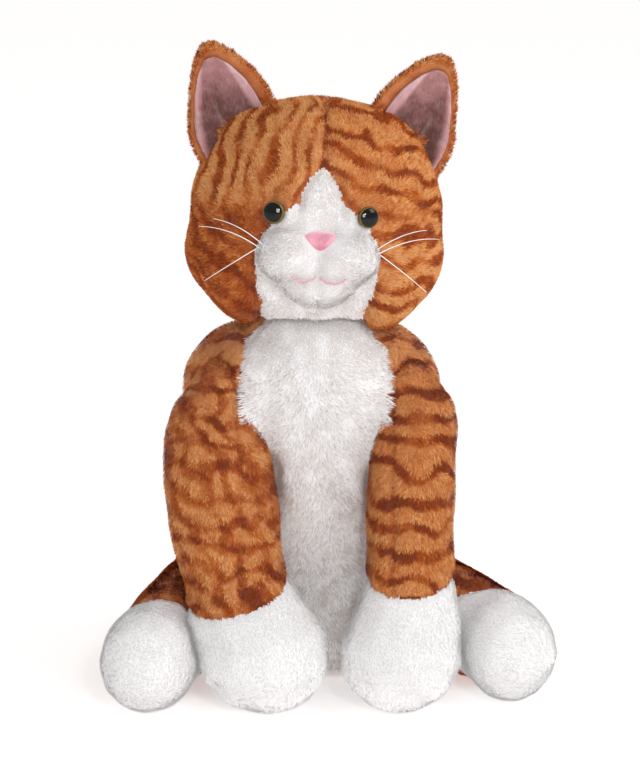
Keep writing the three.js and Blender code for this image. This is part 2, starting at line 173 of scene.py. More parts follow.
def head_tabby(points):
    q = in_head(points)
    x, y, z = q.T
    left_brow = bands(q, (0.95, 0, -0.28), 9.5, 10, 1) - 0.06
    right_brow = bands(q, (0.3, 0, 0.95), 11, 12, 2) + 0.14
    cheek_bands = bands(q, (0.1, 0, 1), 15, 14, 3)
    back_bands = bands(q, (0, 0.25, 1), 15, 18, 4)
    brow = np.where(x < 0, left_brow, right_brow)
    # The cat's right cheek (x below 0) has bands and mottle on a raised base; that base is painted shade
    # of the side away from the light.
    cheek_bands_and_painted_shade = 0.5 + 0.5 * bands(q, (0.6, 0, 0.8), 13, 16, 17) + 0.5 * (mottle(q, 5) - 0.3)
    cheek = np.where(x < 0, cheek_bands_and_painted_shade, cheek_bands)
    front = smoothstep(-2, 14, z) * brow + (1 - smoothstep(-2, 14, z)) * cheek
    is_back = smoothstep(-4, 16, y)
    pattern = (1 - is_back) * front + is_back * back_bands
    eyes = [np.linalg.norm((points - box_middle("eye_" + s)) / MM, axis=1) for s in SIDES]
    near_eye = np.exp(-((np.min(eyes, axis=0) / 15) ** 2))
    return (1 - 0.5 * near_eye) * pattern * 0.75 + 0.25 * near_eye + 0.22 * mottle(q, 6)


def ear_tabby(points):
    return 0.15 + 0.5 * mottle(in_head(points), 16)


def leg_tabby(points, side):
    q = points / MM
    if side == "left":
        pattern = 0.14 + bands(q, (0.12, 0, 1), 15, 14, 8)
    else:
        slanting = bands(q, (0.9, 0, 0.45), 15, 16, 9)
        level = bands(q, (0.1, 0, 1), 14, 15, 10)
        pattern = 0.06 + 0.5 * slanting + 0.6 * level
    return 0.85 * pattern + 0.22 * mottle(q, 7)


def body_tabby(points):
    q = points / MM
    return 0.8 * bands(q, (0, 0.2, 1), 19, 20, 12) + 0.22 * mottle(q, 13)


def tail_tabby(points):
    q = (points - JOINTS["tail_swing"]) / MM
    along = np.linalg.norm(q, axis=1)
    rings = smoothstep(-0.2, 0.7, np.cos(2 * math.pi * (along + 5 * noise(q, 10, 14)) / 18))
    return 0.8 * rings + 0.22 * mottle(q, 15)


# ---------- materials
class Nodes:
    """A short way to add linked shader nodes to one material."""

    def __init__(self, name, **values):
        self.material = bpy.data.materials.new(name)
        self.material.use_nodes = True
        self.tree = self.material.node_tree
        self.shader = self.tree.nodes["Principled BSDF"]
        for socket, value in values.items():
            self.shader.inputs[socket.replace("_", " ")].default_value = value

    def add(self, kind, inputs=None, **settings):
        node = self.tree.nodes.new("ShaderNode" + kind)
        for key, value in settings.items():
            setattr(node, key, value)
        for key, value in (inputs or {}).items():
            if isinstance(value, bpy.types.NodeSocket):
                self.tree.links.new(value, node.inputs[key])
            else:
                node.inputs[key].default_value = value
        return node

    def rest_place(self):
        """The point's place at rest, stored on the mesh, so a pattern would stay put if the piece bent.
        """
        return self.add("Attribute", attribute_name="rest").outputs["Vector"]

    def ramp(self, factor, stops):
        node = self.add("ValToRGB", {"Fac": factor})
        elements = node.color_ramp.elements
        while len(elements) < len(stops):
            elements.new(0.5)
        for element, (position, colour) in zip(elements, stops):
            element.position = position
            element.color = colour
        return node.outputs["Color"]

    def bump(self, height, strength, distance):
        node = self.add("Bump", {"Height": height, "Strength": strength, "Distance": distance})
        self.tree.links.new(node.outputs["Normal"], self.shader.inputs["Normal"])

    def colour(self, output):
        self.tree.links.new(output, self.shader.inputs["Base Color"])


GINGER_STOPS = [
    (0.0, (226, 160, 100)),
    (0.25, (210, 131, 70)),
    (0.5, (188, 98, 40)),
    (0.75, (162, 71, 21)),
    (1.0, (130, 53, 15)),
]
WHITE_STOPS = [(0.0, (216, 208, 204)), (0.5, (246, 244, 244)), (1.0, (253, 252, 252))]


def colour_at(stops, t):
    """The screen colour a share t along the stops."""
    places = [place for place, _ in stops]
    return [float(np.interp(t, places, [colour[k] for _, colour in stops])) for k in range(3)]


def plush_backing(name, stops):
    """The knitted backing and the roots of the pile, seen between the strands."""
    nodes = Nodes(name, Roughness=0.95, Sheen_Weight=0.25, Sheen_Roughness=0.5)
    place = nodes.rest_place()
    shade = nodes.add("Attribute", attribute_name="shade").outputs["Fac"]
    fine = nodes.add("TexNoise", {"Vector": place, "Scale": 900.0, "Detail": 3.0})
    mixed = nodes.add("Math", {0: fine.outputs["Fac"], 1: 0.35, 2: -0.175}, operation="MULTIPLY_ADD")
    total = nodes.add("Math", {0: shade, 1: mixed.outputs[0]}, operation="ADD")
    nodes.colour(nodes.ramp(total.outputs[0], [(p, srgb(*[0.94 * c for c in rgb])) for p, rgb in stops]))
    nodes.bump(fine.outputs["Fac"], 0.6, 0.6 * MM)
    return nodes.material


GINGER_STEPS = 9
WHITE_STEPS = 5


def strand_materials(name, stops, steps, glow):
    """One material for each shade that a strand can have.

    Light scatters many times between real fibres, most of all between white ones. The glow stands for
    that light, which the opaque strands can't pass on.
    """
    made = []
    for k in range(steps):
        colour = srgb(*colour_at(stops, k / (steps - 1)))
        nodes = Nodes(f"{name}_{k}", Base_Color=colour, Roughness=0.8, Specular_IOR_Level=0.1)
        nodes.shader.inputs["Emission Color"].default_value = colour
        nodes.shader.inputs["Emission Strength"].default_value = glow
        made.append(nodes.material)
    return made


GINGER_BACKING = plush_backing("ginger_plush_backing", GINGER_STOPS)
WHITE_BACKING = plush_backing("white_plush_backing", WHITE_STOPS)
GINGER_STRANDS = strand_materials("ginger_strand", GINGER_STOPS, GINGER_STEPS, 0.03)
WHITE_STRANDS = strand_materials("white_strand", WHITE_STOPS, WHITE_STEPS, 0.07)


# ---------- meshes as arrays
def link(name, mesh):
    obj = bpy.data.objects.new(name, mesh)
    bpy.context.scene.collection.objects.link(obj)
    return obj


def mesh_object(name, points, faces):
    mesh = bpy.data.meshes.new(name)
    mesh.from_pydata([tuple(p) for p in points], [], [tuple(int(i) for i in f) for f in faces])
    mesh.polygons.foreach_set("use_smooth", [True] * len(faces))
    return link(name, mesh)


def point_array(mesh):
    co = np.zeros(len(mesh.vertices) * 3)
    mesh.vertices.foreach_get("co", co)
    return co.reshape(-1, 3)


def face_list(mesh):
    return [tuple(p.vertices) for p in mesh.polygons]


def store(mesh, name, kind, key, values):
    attribute = mesh.attributes.new(name, kind, "POINT")
    attribute.data.foreach_set(key, np.asarray(values, np.float32).ravel())


def rests(piece, shade=0.5):
    """Stores the place at rest and the shade that the materials read."""
    points = point_array(piece.data)
    store(piece.data, "rest", "FLOAT_VECTOR", "vector", points)
    store(piece.data, "shade", "FLOAT", "value", shade * np.ones(len(points)))


def ball(middle, half, rings=12, sides=18):
    """Points and faces of a closed ellipsoid."""
    middle, half = np.array(middle), np.array(half)
    points = [middle + half * (0, 0, 1)]
    for r in range(1, rings):
        tilt = math.pi * r / rings
        for s in range(sides):
            turn = 2 * math.pi * s / sides
            spoke = (math.sin(tilt) * math.cos(turn), math.sin(tilt) * math.sin(turn), math.cos(tilt))
            points.append(middle + half * spoke)
    points.append(middle - half * (0, 0, 1))
    last = len(points) - 1
    faces = [(0, 1 + s, 1 + (s + 1) % sides) for s in range(sides)]
    for r in range(rings - 2):
        a, b = 1 + r * sides, 1 + (r + 1) * sides
        faces += [(a + s, b + s, b + (s + 1) % sides, a + (s + 1) % sides) for s in range(sides)]
    a = 1 + (rings - 2) * sides
    faces += [(last, a + (s + 1) % sides, a + s) for s in range(sides)]
    return points, faces


def vertex_normals(points, quads):
    """Smooth normals of a mesh of quads."""
    diagonal_a = points[quads[:, 2]] - points[quads[:, 0]]
    diagonal_b = points[quads[:, 3]] - points[quads[:, 1]]
    face = np.cross(diagonal_a, diagonal_b)
    total = np.zeros_like(points)
    for corner in range(4):
        np.add.at(total, quads[:, corner], face)
    return normalised(total)


def apply_modifier(obj, kind, **settings):
    modifier = obj.modifiers.new(kind.lower(), kind)
    for key, value in settings.items():
        setattr(modifier, key, value)
    bpy.context.view_layer.objects.active = obj
    bpy.ops.object.modifier_apply(modifier=modifier.name)


# ---------- stuffed skins
class Skin:
    """One stuffed part: the union of its CAD nodes and fillers, as one closed quad mesh."""

    def __init__(self, name, nodes, panels, fillers=(), voxel=3.6 * MM, inset=3.2 * MM):
        self.name = name
        self.panels = panels
        points, faces = [], []
        for node in nodes:
            mesh = frame["nodes"][node].data
            faces += [tuple(i + len(points) for i in f) for f in face_list(mesh)]
            points += list(point_array(mesh))
        for more_points, more_faces in fillers:
            faces += [tuple(i + len(points) for i in f) for f in more_faces]
            points += more_points
        self.obj = mesh_object(name + "_skin", points, faces)
        apply_modifier(self.obj, "REMESH", mode="VOXEL", voxel_size=voxel, use_smooth_shade=True)
        self.keep_largest()
        apply_modifier(self.obj, "SMOOTH", factor=0.6, iterations=6)
        self.read()
        self.points -= inset * vertex_normals(self.points, self.quads)
        self.write()
        self.trees = [self.tree_of(panel) for panel in panels]

    @staticmethod
    def tree_of(node):
        mesh = frame["nodes"][node].data
        return BVHTree.FromPolygons([Vector(p) for p in point_array(mesh)], face_list(mesh))

    def keep_largest(self):
        """Drops the small closed pockets that a remesh can leave inside."""
        mesh = self.obj.data
        label = np.arange(len(mesh.vertices))
        edges = np.array([e.vertices[:] for e in mesh.edges])
        while True:
            lowest = np.minimum(label[edges[:, 0]], label[edges[:, 1]])
            before = label.copy()
            np.minimum.at(label, edges[:, 0], lowest)
            np.minimum.at(label, edges[:, 1], lowest)
            label = label[label]
            if np.array_equal(label, before):
                break
        kept = label == np.bincount(label).argmax()
        if kept.all():
            return
        number = np.cumsum(kept) - 1
        faces = [tuple(number[i] for i in f) for f in face_list(mesh) if kept[f[0]]]
        points = point_array(mesh)[kept]
        mesh.clear_geometry()
        mesh.from_pydata([tuple(p) for p in points], [], [tuple(int(i) for i in f) for f in faces])

    def read(self):
        mesh = self.obj.data
        self.points = point_array(mesh)
        self.quads = np.array([p.vertices[:] for p in mesh.polygons if len(p.vertices) == 4])

    def write(self):
        self.obj.data.vertices.foreach_set("co", self.points.ravel())
        self.obj.data.update()

    def panel_distances(self, points):
        """For each point, the distance to each panel of the frame."""
        return np.array([[tree.find_nearest(p)[3] for tree in self.trees] for p in points])

    def seam_distance(self, distances):
        """How far each point is from the nearest seam, roughly."""
        if distances.shape[1] < 2:
            return np.full(len(distances), 1.0)
        ordered = np.sort(distances, axis=1)
        return ordered[:, 1] - ordered[:, 0]


PRESSURE = 4
CLOTH_FRAMES = 16
SWELL_LIMIT = 4.5 * MM


def inflate(skins):
    """Swells all skins together as stuffed cloth with their seams held, and applies the result."""
    HELD_WITHIN = 2.5 * MM  # of a seam
    before = {}
    for skin in skins:
        seam = skin.seam_distance(skin.panel_distances(skin.points))
        held = skin.obj.vertex_groups.new(name="held")
        for index in np.nonzero(seam < HELD_WITHIN)[0]:
            held.add([int(index)], 1.0, "REPLACE")
        cloth = skin.obj.modifiers.new("cloth", "CLOTH")
        cloth.settings.quality = 3
        cloth.settings.mass = 0.2
        cloth.settings.tension_stiffness = 18
        cloth.settings.compression_stiffness = 8
        cloth.settings.shear_stiffness = 5
        cloth.settings.bending_stiffness = 1.5
        cloth.settings.use_pressure = True
        cloth.settings.uniform_pressure_force = PRESSURE
        cloth.settings.vertex_group_mass = "held"
        cloth.settings.effector_weights.gravity = 0
        before[skin.name] = skin.points.copy()
    scene = bpy.context.scene
    for number in range(1, CLOTH_FRAMES + 1):
        scene.frame_set(number)
    for skin in skins:
        bpy.context.view_layer.objects.active = skin.obj
        bpy.ops.object.modifier_apply(modifier="cloth")
        skin.read()
        move = skin.points - before[skin.name]
        length = np.linalg.norm(move, axis=1, keepdims=True)
        move *= np.minimum(1, SWELL_LIMIT / np.maximum(length, 1e-9))
        skin.points = before[skin.name] + move
        skin.write()
    scene.frame_set(1)


def refine(skin):
    """Smooths, subdivides once, then sinks the seams and adds the unevenness of the stuffing."""
    SEAM_HALF_WIDTH = 2.6 * MM
    LUMP_HEIGHT = 2.2 * MM
    LOWEST = 0.5 * MM  # above the floor
    depth = (3.4 if skin.name == "head" else 2.0) * MM
    apply_modifier(skin.obj, "SMOOTH", factor=0.5, iterations=2)
    apply_modifier(skin.obj, "SUBSURF", levels=1)
    skin.read()
    skin.distances = skin.panel_distances(skin.points)
    skin.seam = skin.seam_distance(skin.distances)
    normals = vertex_normals(skin.points, skin.quads)
    groove = depth * np.exp(-((skin.seam / SEAM_HALF_WIDTH) ** 2))
    pucker = 1 + 0.8 * (noise(skin.points / MM, 5, 2) - 0.5)
    lumps = LUMP_HEIGHT * (noise(skin.points / MM, 24, 4) - 0.5)
    skin.points += normals * (lumps - groove * pucker)[:, None]
    skin.points[:, 2] = np.maximum(skin.points[:, 2], LOWEST)
    skin.write()


# ---------- pile
STRAND_SEED = 3100
DENSITY = 1.7 / MM**2  # strands on a square metre
STRAND_HALF = 0.21 * MM  # half the width at the widest place
CLUMP_SIZE = 3.0  # millimetres
CLUMPING = 0.25  # how far the tips of a clump lean together


class Pile:
    """How the pile of one panel stands: its length, its lie, its shades and where it is short."""

    def __init__(self, length, comb, shade, materials, spread=0.35, density=1.0, trim=None, lift=0.42):
        self.length = length
        self.comb = comb
        self.shade = shade
        self.materials = materials
        self.spread = spread
        self.density = density
        self.trim = trim
        self.lift = lift


def roots_on(points, quads, density, rng):
    """Random places on a quad mesh: for each, its triangle and its weights of the three corners."""
    triangles = np.concatenate([quads[:, [0, 1, 2]], quads[:, [0, 2, 3]]])
    a, b, c = (points[triangles[:, k]] for k in range(3))
    area = np.linalg.norm(np.cross(b - a, c - a), axis=1) / 2
    count = int(area.sum() * density)
    chosen = rng.choice(len(triangles), count, p=area / area.sum())
    u, v = rng.random((2, count))
    over = u + v > 1
    u[over], v[over] = 1 - u[over], 1 - v[over]
    return triangles[chosen], np.stack([1 - u - v, u, v], axis=1)


def clumps(q):
    """For each root in millimetres, the number of the clump that its strand belongs to."""
    cell = np.floor((q + 2.6 * swirl(q, 4, 30)) / CLUMP_SIZE).astype(int)
    _, member = np.unique(cell, axis=0, return_inverse=True)
    return member.ravel()


def strand_mesh(name, vertices, normals):
    """A mesh of blades. Each has four vertices, which share one shading normal, and two triangles."""
    count = len(vertices)
    mesh = bpy.data.meshes.new(name)
    mesh.vertices.add(count * 4)
    mesh.vertices.foreach_set("co", vertices.astype(np.float32).ravel())
    loops = (np.arange(count)[:, None] * 4 + np.array([0, 2, 1, 1, 2, 3])).astype(np.int32).ravel()
    mesh.loops.add(len(loops))
    mesh.loops.foreach_set("vertex_index", loops)
    mesh.polygons.add(count * 2)
    mesh.polygons.foreach_set("loop_start", (np.arange(count * 2) * 3).astype(np.int32))
    mesh.update(calc_edges=True)
    store(mesh, "custom_normal", "FLOAT_VECTOR", "vector", np.repeat(normals, 4, axis=0))
    return mesh


def strand_shades(pile, root, near_seam, member, uneven, rng):
    """The material of each strand's lower and upper triangle: darker and lighter of one shade, the
    lighter one a painted sheen on the tip.
    """
    IN_SEAM = 1.8 * MM
    count, steps = len(root), len(pile.materials)
    is_white = pile.materials is WHITE_STRANDS
    fleck = 0.09 * rng.normal(size=count) + 0.1 * rng.normal(size=member.max() + 1)[member]
    # Ginger strands are darker near a seam: painted shade of the seam's groove.
    seam_painted_shade = (0 if is_white else 0.3) * np.exp(-((near_seam / IN_SEAM) ** 2))
    shade = pile.shade(root) + uneven * fleck + seam_painted_shade
    deep = np.clip(np.round(np.clip(shade, 0, 1) * (steps - 1)), 0, steps - 1)
    # On some strands the upper triangle is one step lighter: a painted sheen on the tips.
    painted_sheen_step = 1 if is_white else -1
    light = np.clip(deep + painted_sheen_step * (rng.random(count) < 0.45), 0, steps - 1)
    return np.stack([deep, light], axis=1).astype(np.int32)


def grow(name, points, quads, normals, seam, pile, seed):
    """The strands of a panel: each is a thin flat blade, bent at its widest place."""
    ROOT_DEPTH = 0.8 * MM
    rng = np.random.default_rng(STRAND_SEED + seed)
    corners, weights = roots_on(points, quads, DENSITY * pile.density, rng)
    mix = lambda values: (values[corners] * weights[:, :, None]).sum(axis=1)
    root, normal = mix(points), normalised(mix(normals))
    near_seam = (seam[corners] * weights).sum(axis=1)
    length = pile.length(root, near_seam) * rng.uniform(0.75, 1.2, len(root))
    if pile.trim is not None:
        kept = rng.random(len(root)) < pile.trim(root)
        root, normal, length, near_seam = root[kept], normal[kept], length[kept], near_seam[kept]
    count = len(root)
    q = root / MM
    lie = normalised(pile.comb(root)) + 0.6 * swirl(q, 11, 20)
    lie = lie + pile.spread * rng.normal(size=(count, 3))
    lie = normalised(lie - (lie * normal).sum(axis=1, keepdims=True) * normal)
    run = lie * length[:, None]
    tip = root + normal * (pile.lift * length)[:, None] + 0.75 * run
    member = clumps(q)
    size = np.bincount(member)
    centre = np.stack([np.bincount(member, tip[:, k]) / size for k in range(3)], axis=1)[member]
    pull = CLUMPING * (centre - tip)
    tip += pull
    middle = root + normal * (0.62 * pile.lift * length)[:, None] + 0.26 * run + 0.3 * pull
    side = normalised(np.cross(tip - root, normal))
    half = STRAND_HALF * rng.uniform(0.75, 1.25, count)[:, None]
    base = root - ROOT_DEPTH * normal
    vertices = np.stack([base, middle - half * side, middle + half * side, tip], axis=1)
    vertices[:, :, 2] = np.maximum(vertices[:, :, 2], 0)
    uneven = 0.3 if pile.materials is WHITE_STRANDS else 1.0
    shades = strand_shades(pile, root, near_seam, member, uneven, rng)
    facing = normalised(normal + 0.24 * uneven * rng.normal(size=(count, 3)))
    mesh = strand_mesh(name, vertices, facing)
    mesh.polygons.foreach_set("material_index", shades.ravel())
    for material in pile.materials:
        mesh.materials.append(material)
    return link(name, mesh)


# ---------- panels
class Panel:
    """One sewn panel of a skin, with what it stands for and how it looks."""

    def __init__(self, node, slot, pile, backing, replaces=()):
        self.node = node
        self.slot = slot
        self.pile = pile
        self.backing = backing
        self.replaces = (node, *replaces)


PLACED = []  # the panel pieces made so far, whose number seeds the next one's strands


def split(skin, panels, place):
    """Cuts a skin along its seams into panel pieces with pile. Place puts a piece on its body."""
    normals = vertex_normals(skin.points, skin.quads)
    nearest = skin.distances[skin.quads].mean(axis=1).argmin(axis=1)
    for number, panel in enumerate(panels):
        quads = skin.quads[nearest == number]
        used, index = np.unique(quads, return_inverse=True)
        quads = index.reshape(-1, 4)
        points, own_normals, seam = skin.points[used], normals[used], skin.seam[used]
        piece = mesh_object(panel.node + "_plush", points, quads)
        piece.data.materials.append(panel.backing)
        rests(piece, panel.pile.shade(points))
        strands = grow(panel.node + "_pile", points, quads, own_normals, seam, panel.pile, len(PLACED))
        for part in (piece, strands):
            place(part)
        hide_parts(*panel.replaces)
        PLACED.append(piece)
    bpy.data.objects.remove(skin.obj)


# ---------- how the pile lies and how long it is
def short_near_face(root):
    """The share of the pile's length: 0.35 at the nose, mouth and eyes, and 1 away from them."""
    features = [box_middle("eye_left"), box_middle("eye_right"), box_middle("nose_patch")]
    features += [box_middle("mouth_stitch_left"), box_middle("mouth_stitch_right")]
    reach = np.array([13, 13, 17, 14, 14]) * MM
    distance = [np.linalg.norm(root - f, axis=1) / r for f, r in zip(features, reach)]
    return 0.35 + 0.65 * smoothstep(0.5, 1.3, np.min(distance, axis=0))


def caught(seam):
    """The share of the pile's length that stands free: short where a seam catches it."""
    return 1 - 0.5 * np.exp(-((seam / (2.6 * MM)) ** 2))


def head_length(root, seam):
    return 3.8 * MM * short_near_face(root) * caught(seam)


def away_from_muzzle(root):
    return root - on_head(0, -40, -16)


def plain_length(root, seam):
    return 4.0 * MM * caught(seam)


def chest_length(root, seam):
    """Longest along the seams, where it hangs over the ginger, and short under the head."""
    under_head = smoothstep(196, 214, root[:, 2] / MM)
    at_edge = np.exp(-((seam / (6 * MM)) ** 2))
    return (1 - 0.45 * under_head) * (4.6 + 4.4 * at_edge) * MM


def down(root):
    return np.tile((0.0, -0.15, -1.0), (len(root), 1))


def chest_comb(root):
    x = root[:, 0] / (40 * MM)
    return np.stack([1.3 * x, np.full(len(x), -0.1), np.full(len(x), -0.8)], axis=1)


def from_point(point):
    return lambda root: root - np.array(point)


def white_shade(root):
    """White pile: whitest on the paws and feet, and greyer low on the belly between the legs, where the
    grey is painted shade.
    """
    q = root / MM
    # Greyer low on the belly between the front legs: painted shade of that recess.
    belly_painted_shade = smoothstep(150, 50, q[:, 2]) * smoothstep(-62, -30, q[:, 1]) * (abs(q[:, 0]) < 42)
    above_paws = smoothstep(75, 120, q[:, 2])
    return 0.68 - 0.36 * above_paws + 0.4 * (noise(q, 7, 40) - 0.5) - 0.6 * belly_painted_shade


def eye_clear(root):
    """No strands over the eyes and the nose."""
    eyes = [np.linalg.norm(root - box_middle("eye_" + s), axis=1) for s in SIDES]
    q = in_head(root - (box_middle("nose_patch") - HEAD_MIDDLE))
    nose = (q[:, 0] / 10) ** 2 + (q[:, 2] / 5.5) ** 2
    return ((np.min(eyes, axis=0) > 5.6 * MM) & ((nose > 1) | (q[:, 1] > 20))).astype(float)


def ginger(length, comb, shade, **more):
    return Pile(length, comb, shade, GINGER_STRANDS, **more)


def white(length, comb, **more):
    return Pile(length, comb, white_shade, WHITE_STRANDS, lift=0.34, **more)


# ---------- the stuffed parts
def riding(body):
    return lambda obj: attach(obj, body)


def make_skins():
    """The skin of each stuffed part. Fillers close the hollows that the CAD leaves at the joints."""
    SHOULDERS = np.array((-3, 16, 179))  # the middle of the sloping shoulders, in millimetres
    shoulder = {s: JOINTS["shoulder_" + s] for s in SIDES}
    hip = {s: JOINTS["hip_" + s] for s in SIDES}
    fillers = []
    for s, sign in SIDES.items():
        inside = shoulder[s] - np.array((12 * sign, -8, 2)) * MM
        fillers.append(ball(inside, np.array((28, 30, 34)) * MM))
        fillers.append(ball(hip[s] - np.array((10 * sign, 0, -2)) * MM, np.full(3, 33 * MM)))
        slope = (SHOULDERS + (36 * sign, 0, 0)) * MM
        fillers.append(ball(slope, np.array((48, 36, 46)) * MM))
    fillers.append(ball(JOINTS["tail_swing"] - np.array((0, 5, 0)) * MM, np.full(3, 15 * MM)))
    fillers.append(ball(NECK + np.array((0, 2, -24)) * MM, np.array((74, 50, 38)) * MM))
    fillers.append(ball(NECK + np.array((0, -2, 8)) * MM, np.array((46, 42, 30)) * MM))
    panels = ["torso_panel_left", "torso_panel_right", "chest_panel", "seat_panel"]
    skins = {"torso": Skin("torso", [*panels, "torso_stuffing"], panels, fillers)}
    panels = ["face_panel_left", "face_panel_right", "head_back_panel", "muzzle_panel"]
    cheeks = [ball(on_head(x, 2, 27), np.array((40, 48, 42)) * MM) for x in (-28, 28)]
    cheeks += [ball(on_head(x, -2, -24), np.array((46, 44, 42)) * MM) for x in (-37, 37)]
    skins["head"] = Skin("head", [*panels, "head_stuffing"], panels, cheeks)
    for s, sign in SIDES.items():
        cap = ball(shoulder[s] + np.array((-4 * sign, 8, 13)) * MM, np.array((22, 26, 27)) * MM)
        name = "front_leg_" + s
        panels = [name + "_outer_panel", name + "_inner_panel", "front_paw_" + s]
        skins[name] = Skin(name, [*panels, name + "_stuffing"], panels, [cap])
        name = "hind_leg_" + s
        panels = [name + "_thigh", "hind_foot_" + s]
        skins[name] = Skin(name, [*panels, name + "_stuffing"], panels, inset=1.0 * MM)
    skins["tail"] = Skin("tail", ["tail_sleeve", "tail_stuffing"], ["tail_sleeve"])
    skins["neck"] = Skin("neck", ["neck_stuffing"], ["neck_stuffing"])
    return skins


def panel_head(skin):
    coat = lambda: ginger(head_length, away_from_muzzle, head_tabby, trim=eye_clear)
    blaze = white(head_length, away_from_muzzle, trim=eye_clear)
    panels = [
        Panel("face_panel_left", "ginger_plush", coat(), GINGER_BACKING),
        Panel("face_panel_right", "ginger_plush", coat(), GINGER_BACKING),
        Panel("head_back_panel", "ginger_plush", coat(), GINGER_BACKING, ["head_stuffing"]),
        Panel("muzzle_panel", "white_plush", blaze, WHITE_BACKING),
    ]
    split(skin, panels, riding("head"))


def panel_torso(skin):
    CHEST_HALF = 45 * MM
    CHEST, SEAT = 2, 3  # their numbers among the panels below
    outside_chest = (abs(skin.points[:, 0]) > CHEST_HALF) | (skin.points[:, 1] > -8 * MM)
    skin.distances[outside_chest, CHEST] += 0.1
    skin.distances[skin.points[:, 2] > 5 * MM, SEAT] += 0.1
    side = lambda: ginger(plain_length, down, body_tabby, density=0.8)
    belly = white(chest_length, chest_comb, density=1.1)
    seat = ginger(lambda root, seam: np.full(len(root), 2.5 * MM), down, body_tabby, density=0.6)
    panels = [
        Panel("torso_panel_left", "ginger_plush", side(), GINGER_BACKING, ["torso_stuffing"]),
        Panel("torso_panel_right", "ginger_plush", side(), GINGER_BACKING),
        Panel("chest_panel", "white_plush", belly, WHITE_BACKING),
        Panel("seat_panel", "ginger_plush", seat, GINGER_BACKING),
    ]
    split(skin, panels, riding("torso"))


def panel_front_leg(skin, s):
    place = lambda obj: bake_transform(obj)
    coat = lambda: ginger(plain_length, down, lambda root: leg_tabby(root, s))
    ankle = box_middle("front_paw_" + s) + np.array((0, 25, 30)) * MM
    name = "front_leg_" + s
    panels = [
        Panel(name + "_outer_panel", "ginger_plush", coat(), GINGER_BACKING, [name + "_stuffing"]),
        Panel(name + "_inner_panel", "ginger_plush", coat(), GINGER_BACKING),
        Panel(f"front_paw_{s}", "white_plush", white(plain_length, from_point(ankle)), WHITE_BACKING),
    ]
    split(skin, panels, place)


def panel_hind_leg(skin, s):
    hip = JOINTS["hip_" + s]
    coat = ginger(plain_length, from_point(hip), lambda root: leg_tabby(root, s))
    foot = white(plain_length, from_point(hip))
    panels = [
        Panel(f"hind_leg_{s}_thigh", "ginger_plush", coat, GINGER_BACKING, [f"hind_leg_{s}_stuffing"]),
        Panel(f"hind_foot_{s}", "white_plush", foot, WHITE_BACKING),
    ]
    split(skin, panels, riding("hind_leg_" + s))


def panel_tail(skin):
    coat = ginger(plain_length, from_point(JOINTS["tail_swing"]), tail_tabby)
    sleeve = Panel("tail_sleeve", "ginger_plush", coat, GINGER_BACKING, ["tail_stuffing"])
    split(skin, [sleeve], riding("tail"))


def panel_neck(skin):
    coat = ginger(plain_length, down, body_tabby, density=0.5)
    split(skin, [Panel("neck_stuffing", "ginger_plush", coat, GINGER_BACKING)], riding("neck"))


def shape_face(skin):
    """Sinks the eyes a little, puffs out the muzzle and the chin and draws them in below the nose."""
    MUZZLE = [(-19, -9, 13, 5.0), (19, -9, 13, 5.0), (0, -31, 12, 4.0)]  # x, z, size and height
    normals = vertex_normals(skin.points, skin.quads)
    dent = np.zeros(len(skin.points))
    for s in SIDES:
        distance = np.linalg.norm(skin.points - box_middle("eye_" + s), axis=1) / MM
        dent += 2.2 * MM * np.exp(-((distance / 9) ** 2))
    q = in_head(skin.points)
    nose = in_head(box_middle("nose_patch")[None])[0]
    below_nose = smoothstep(nose[2] - 2, nose[2] - 8, q[:, 2]) * (q[:, 1] < -40)
    dent += 2.4 * MM * below_nose * np.exp(-(((q[:, 0] - nose[0]) / 3.2) ** 2))
    in_front = smoothstep(-30, -44, q[:, 1])
    for x, z, size, height in MUZZLE:
        away = np.hypot(q[:, 0] - nose[0] - x, q[:, 2] - nose[2] - z) / size
        dent -= height * MM * in_front * np.exp(-(away**2))
    skin.points -= normals * dent[:, None]
    for s in SIDES:
        cover_washer(skin, s)
    skin.write()


def cover_washer(skin, s):
    """Keeps the face in front of the locking washer behind an eye."""
    COVER = 2.5 * MM
    washer = point_array(frame["nodes"]["eye_washer_" + s].data)
    middle = (washer.min(axis=0) + washer.max(axis=0)) / 2
    axis = unit(box_middle("eye_" + s) - middle)
    front = ((washer - middle) @ axis).max()
    reach = np.linalg.norm(washer - middle, axis=1).max()
    offset = skin.points - middle
    along = offset @ axis
    off_axis = np.linalg.norm(offset - along[:, None] * axis, axis=1)
    short_by = np.clip(front + COVER - along, 0, 12 * MM) * (along > -12 * MM)
    share = smoothstep(reach + 4 * MM, reach + 1.5 * MM, off_axis)
    skin.points += (share * short_by)[:, None] * axis


def shape_front_leg(skin, s):
    """Leans the outer side of the sleeve to the cat's right and widens the paw."""
    x, _, z = skin.points.T / MM
    sign = SIDES[s]
    middle = box_middle("front_paw_" + s)[0] / MM
    upper_arm = smoothstep(70, 110, z) * smoothstep(190, 150, z)
    outer_side = smoothstep(0, 30, sign * (x - middle)) * upper_arm
    lean = 3 if s == "left" else 6
    wider = 0.12 * smoothstep(74, 50, z) * (x - middle)
    skin.points[:, 0] += (wider - lean * outer_side) * MM
    skin.write()


skins = make_skins()
for s in SIDES:
    shape_front_leg(skins["front_leg_" + s], s)
inflate([skin for name, skin in skins.items() if name != "neck"])
for skin in skins.values():
    refine(skin)
shape_face(skins["head"])
HEAD_TREE = BVHTree.FromPolygons([Vector(p) for p in skins["head"].points], skins["head"].quads.tolist())
panel_head(skins["head"])
panel_torso(skins["torso"])
for s in SIDES:
    panel_front_leg(skins["front_leg_" + s], s)
    panel_hind_leg(skins["hind_leg_" + s], s)
panel_tail(skins["tail"])
panel_neck(skins["neck"])


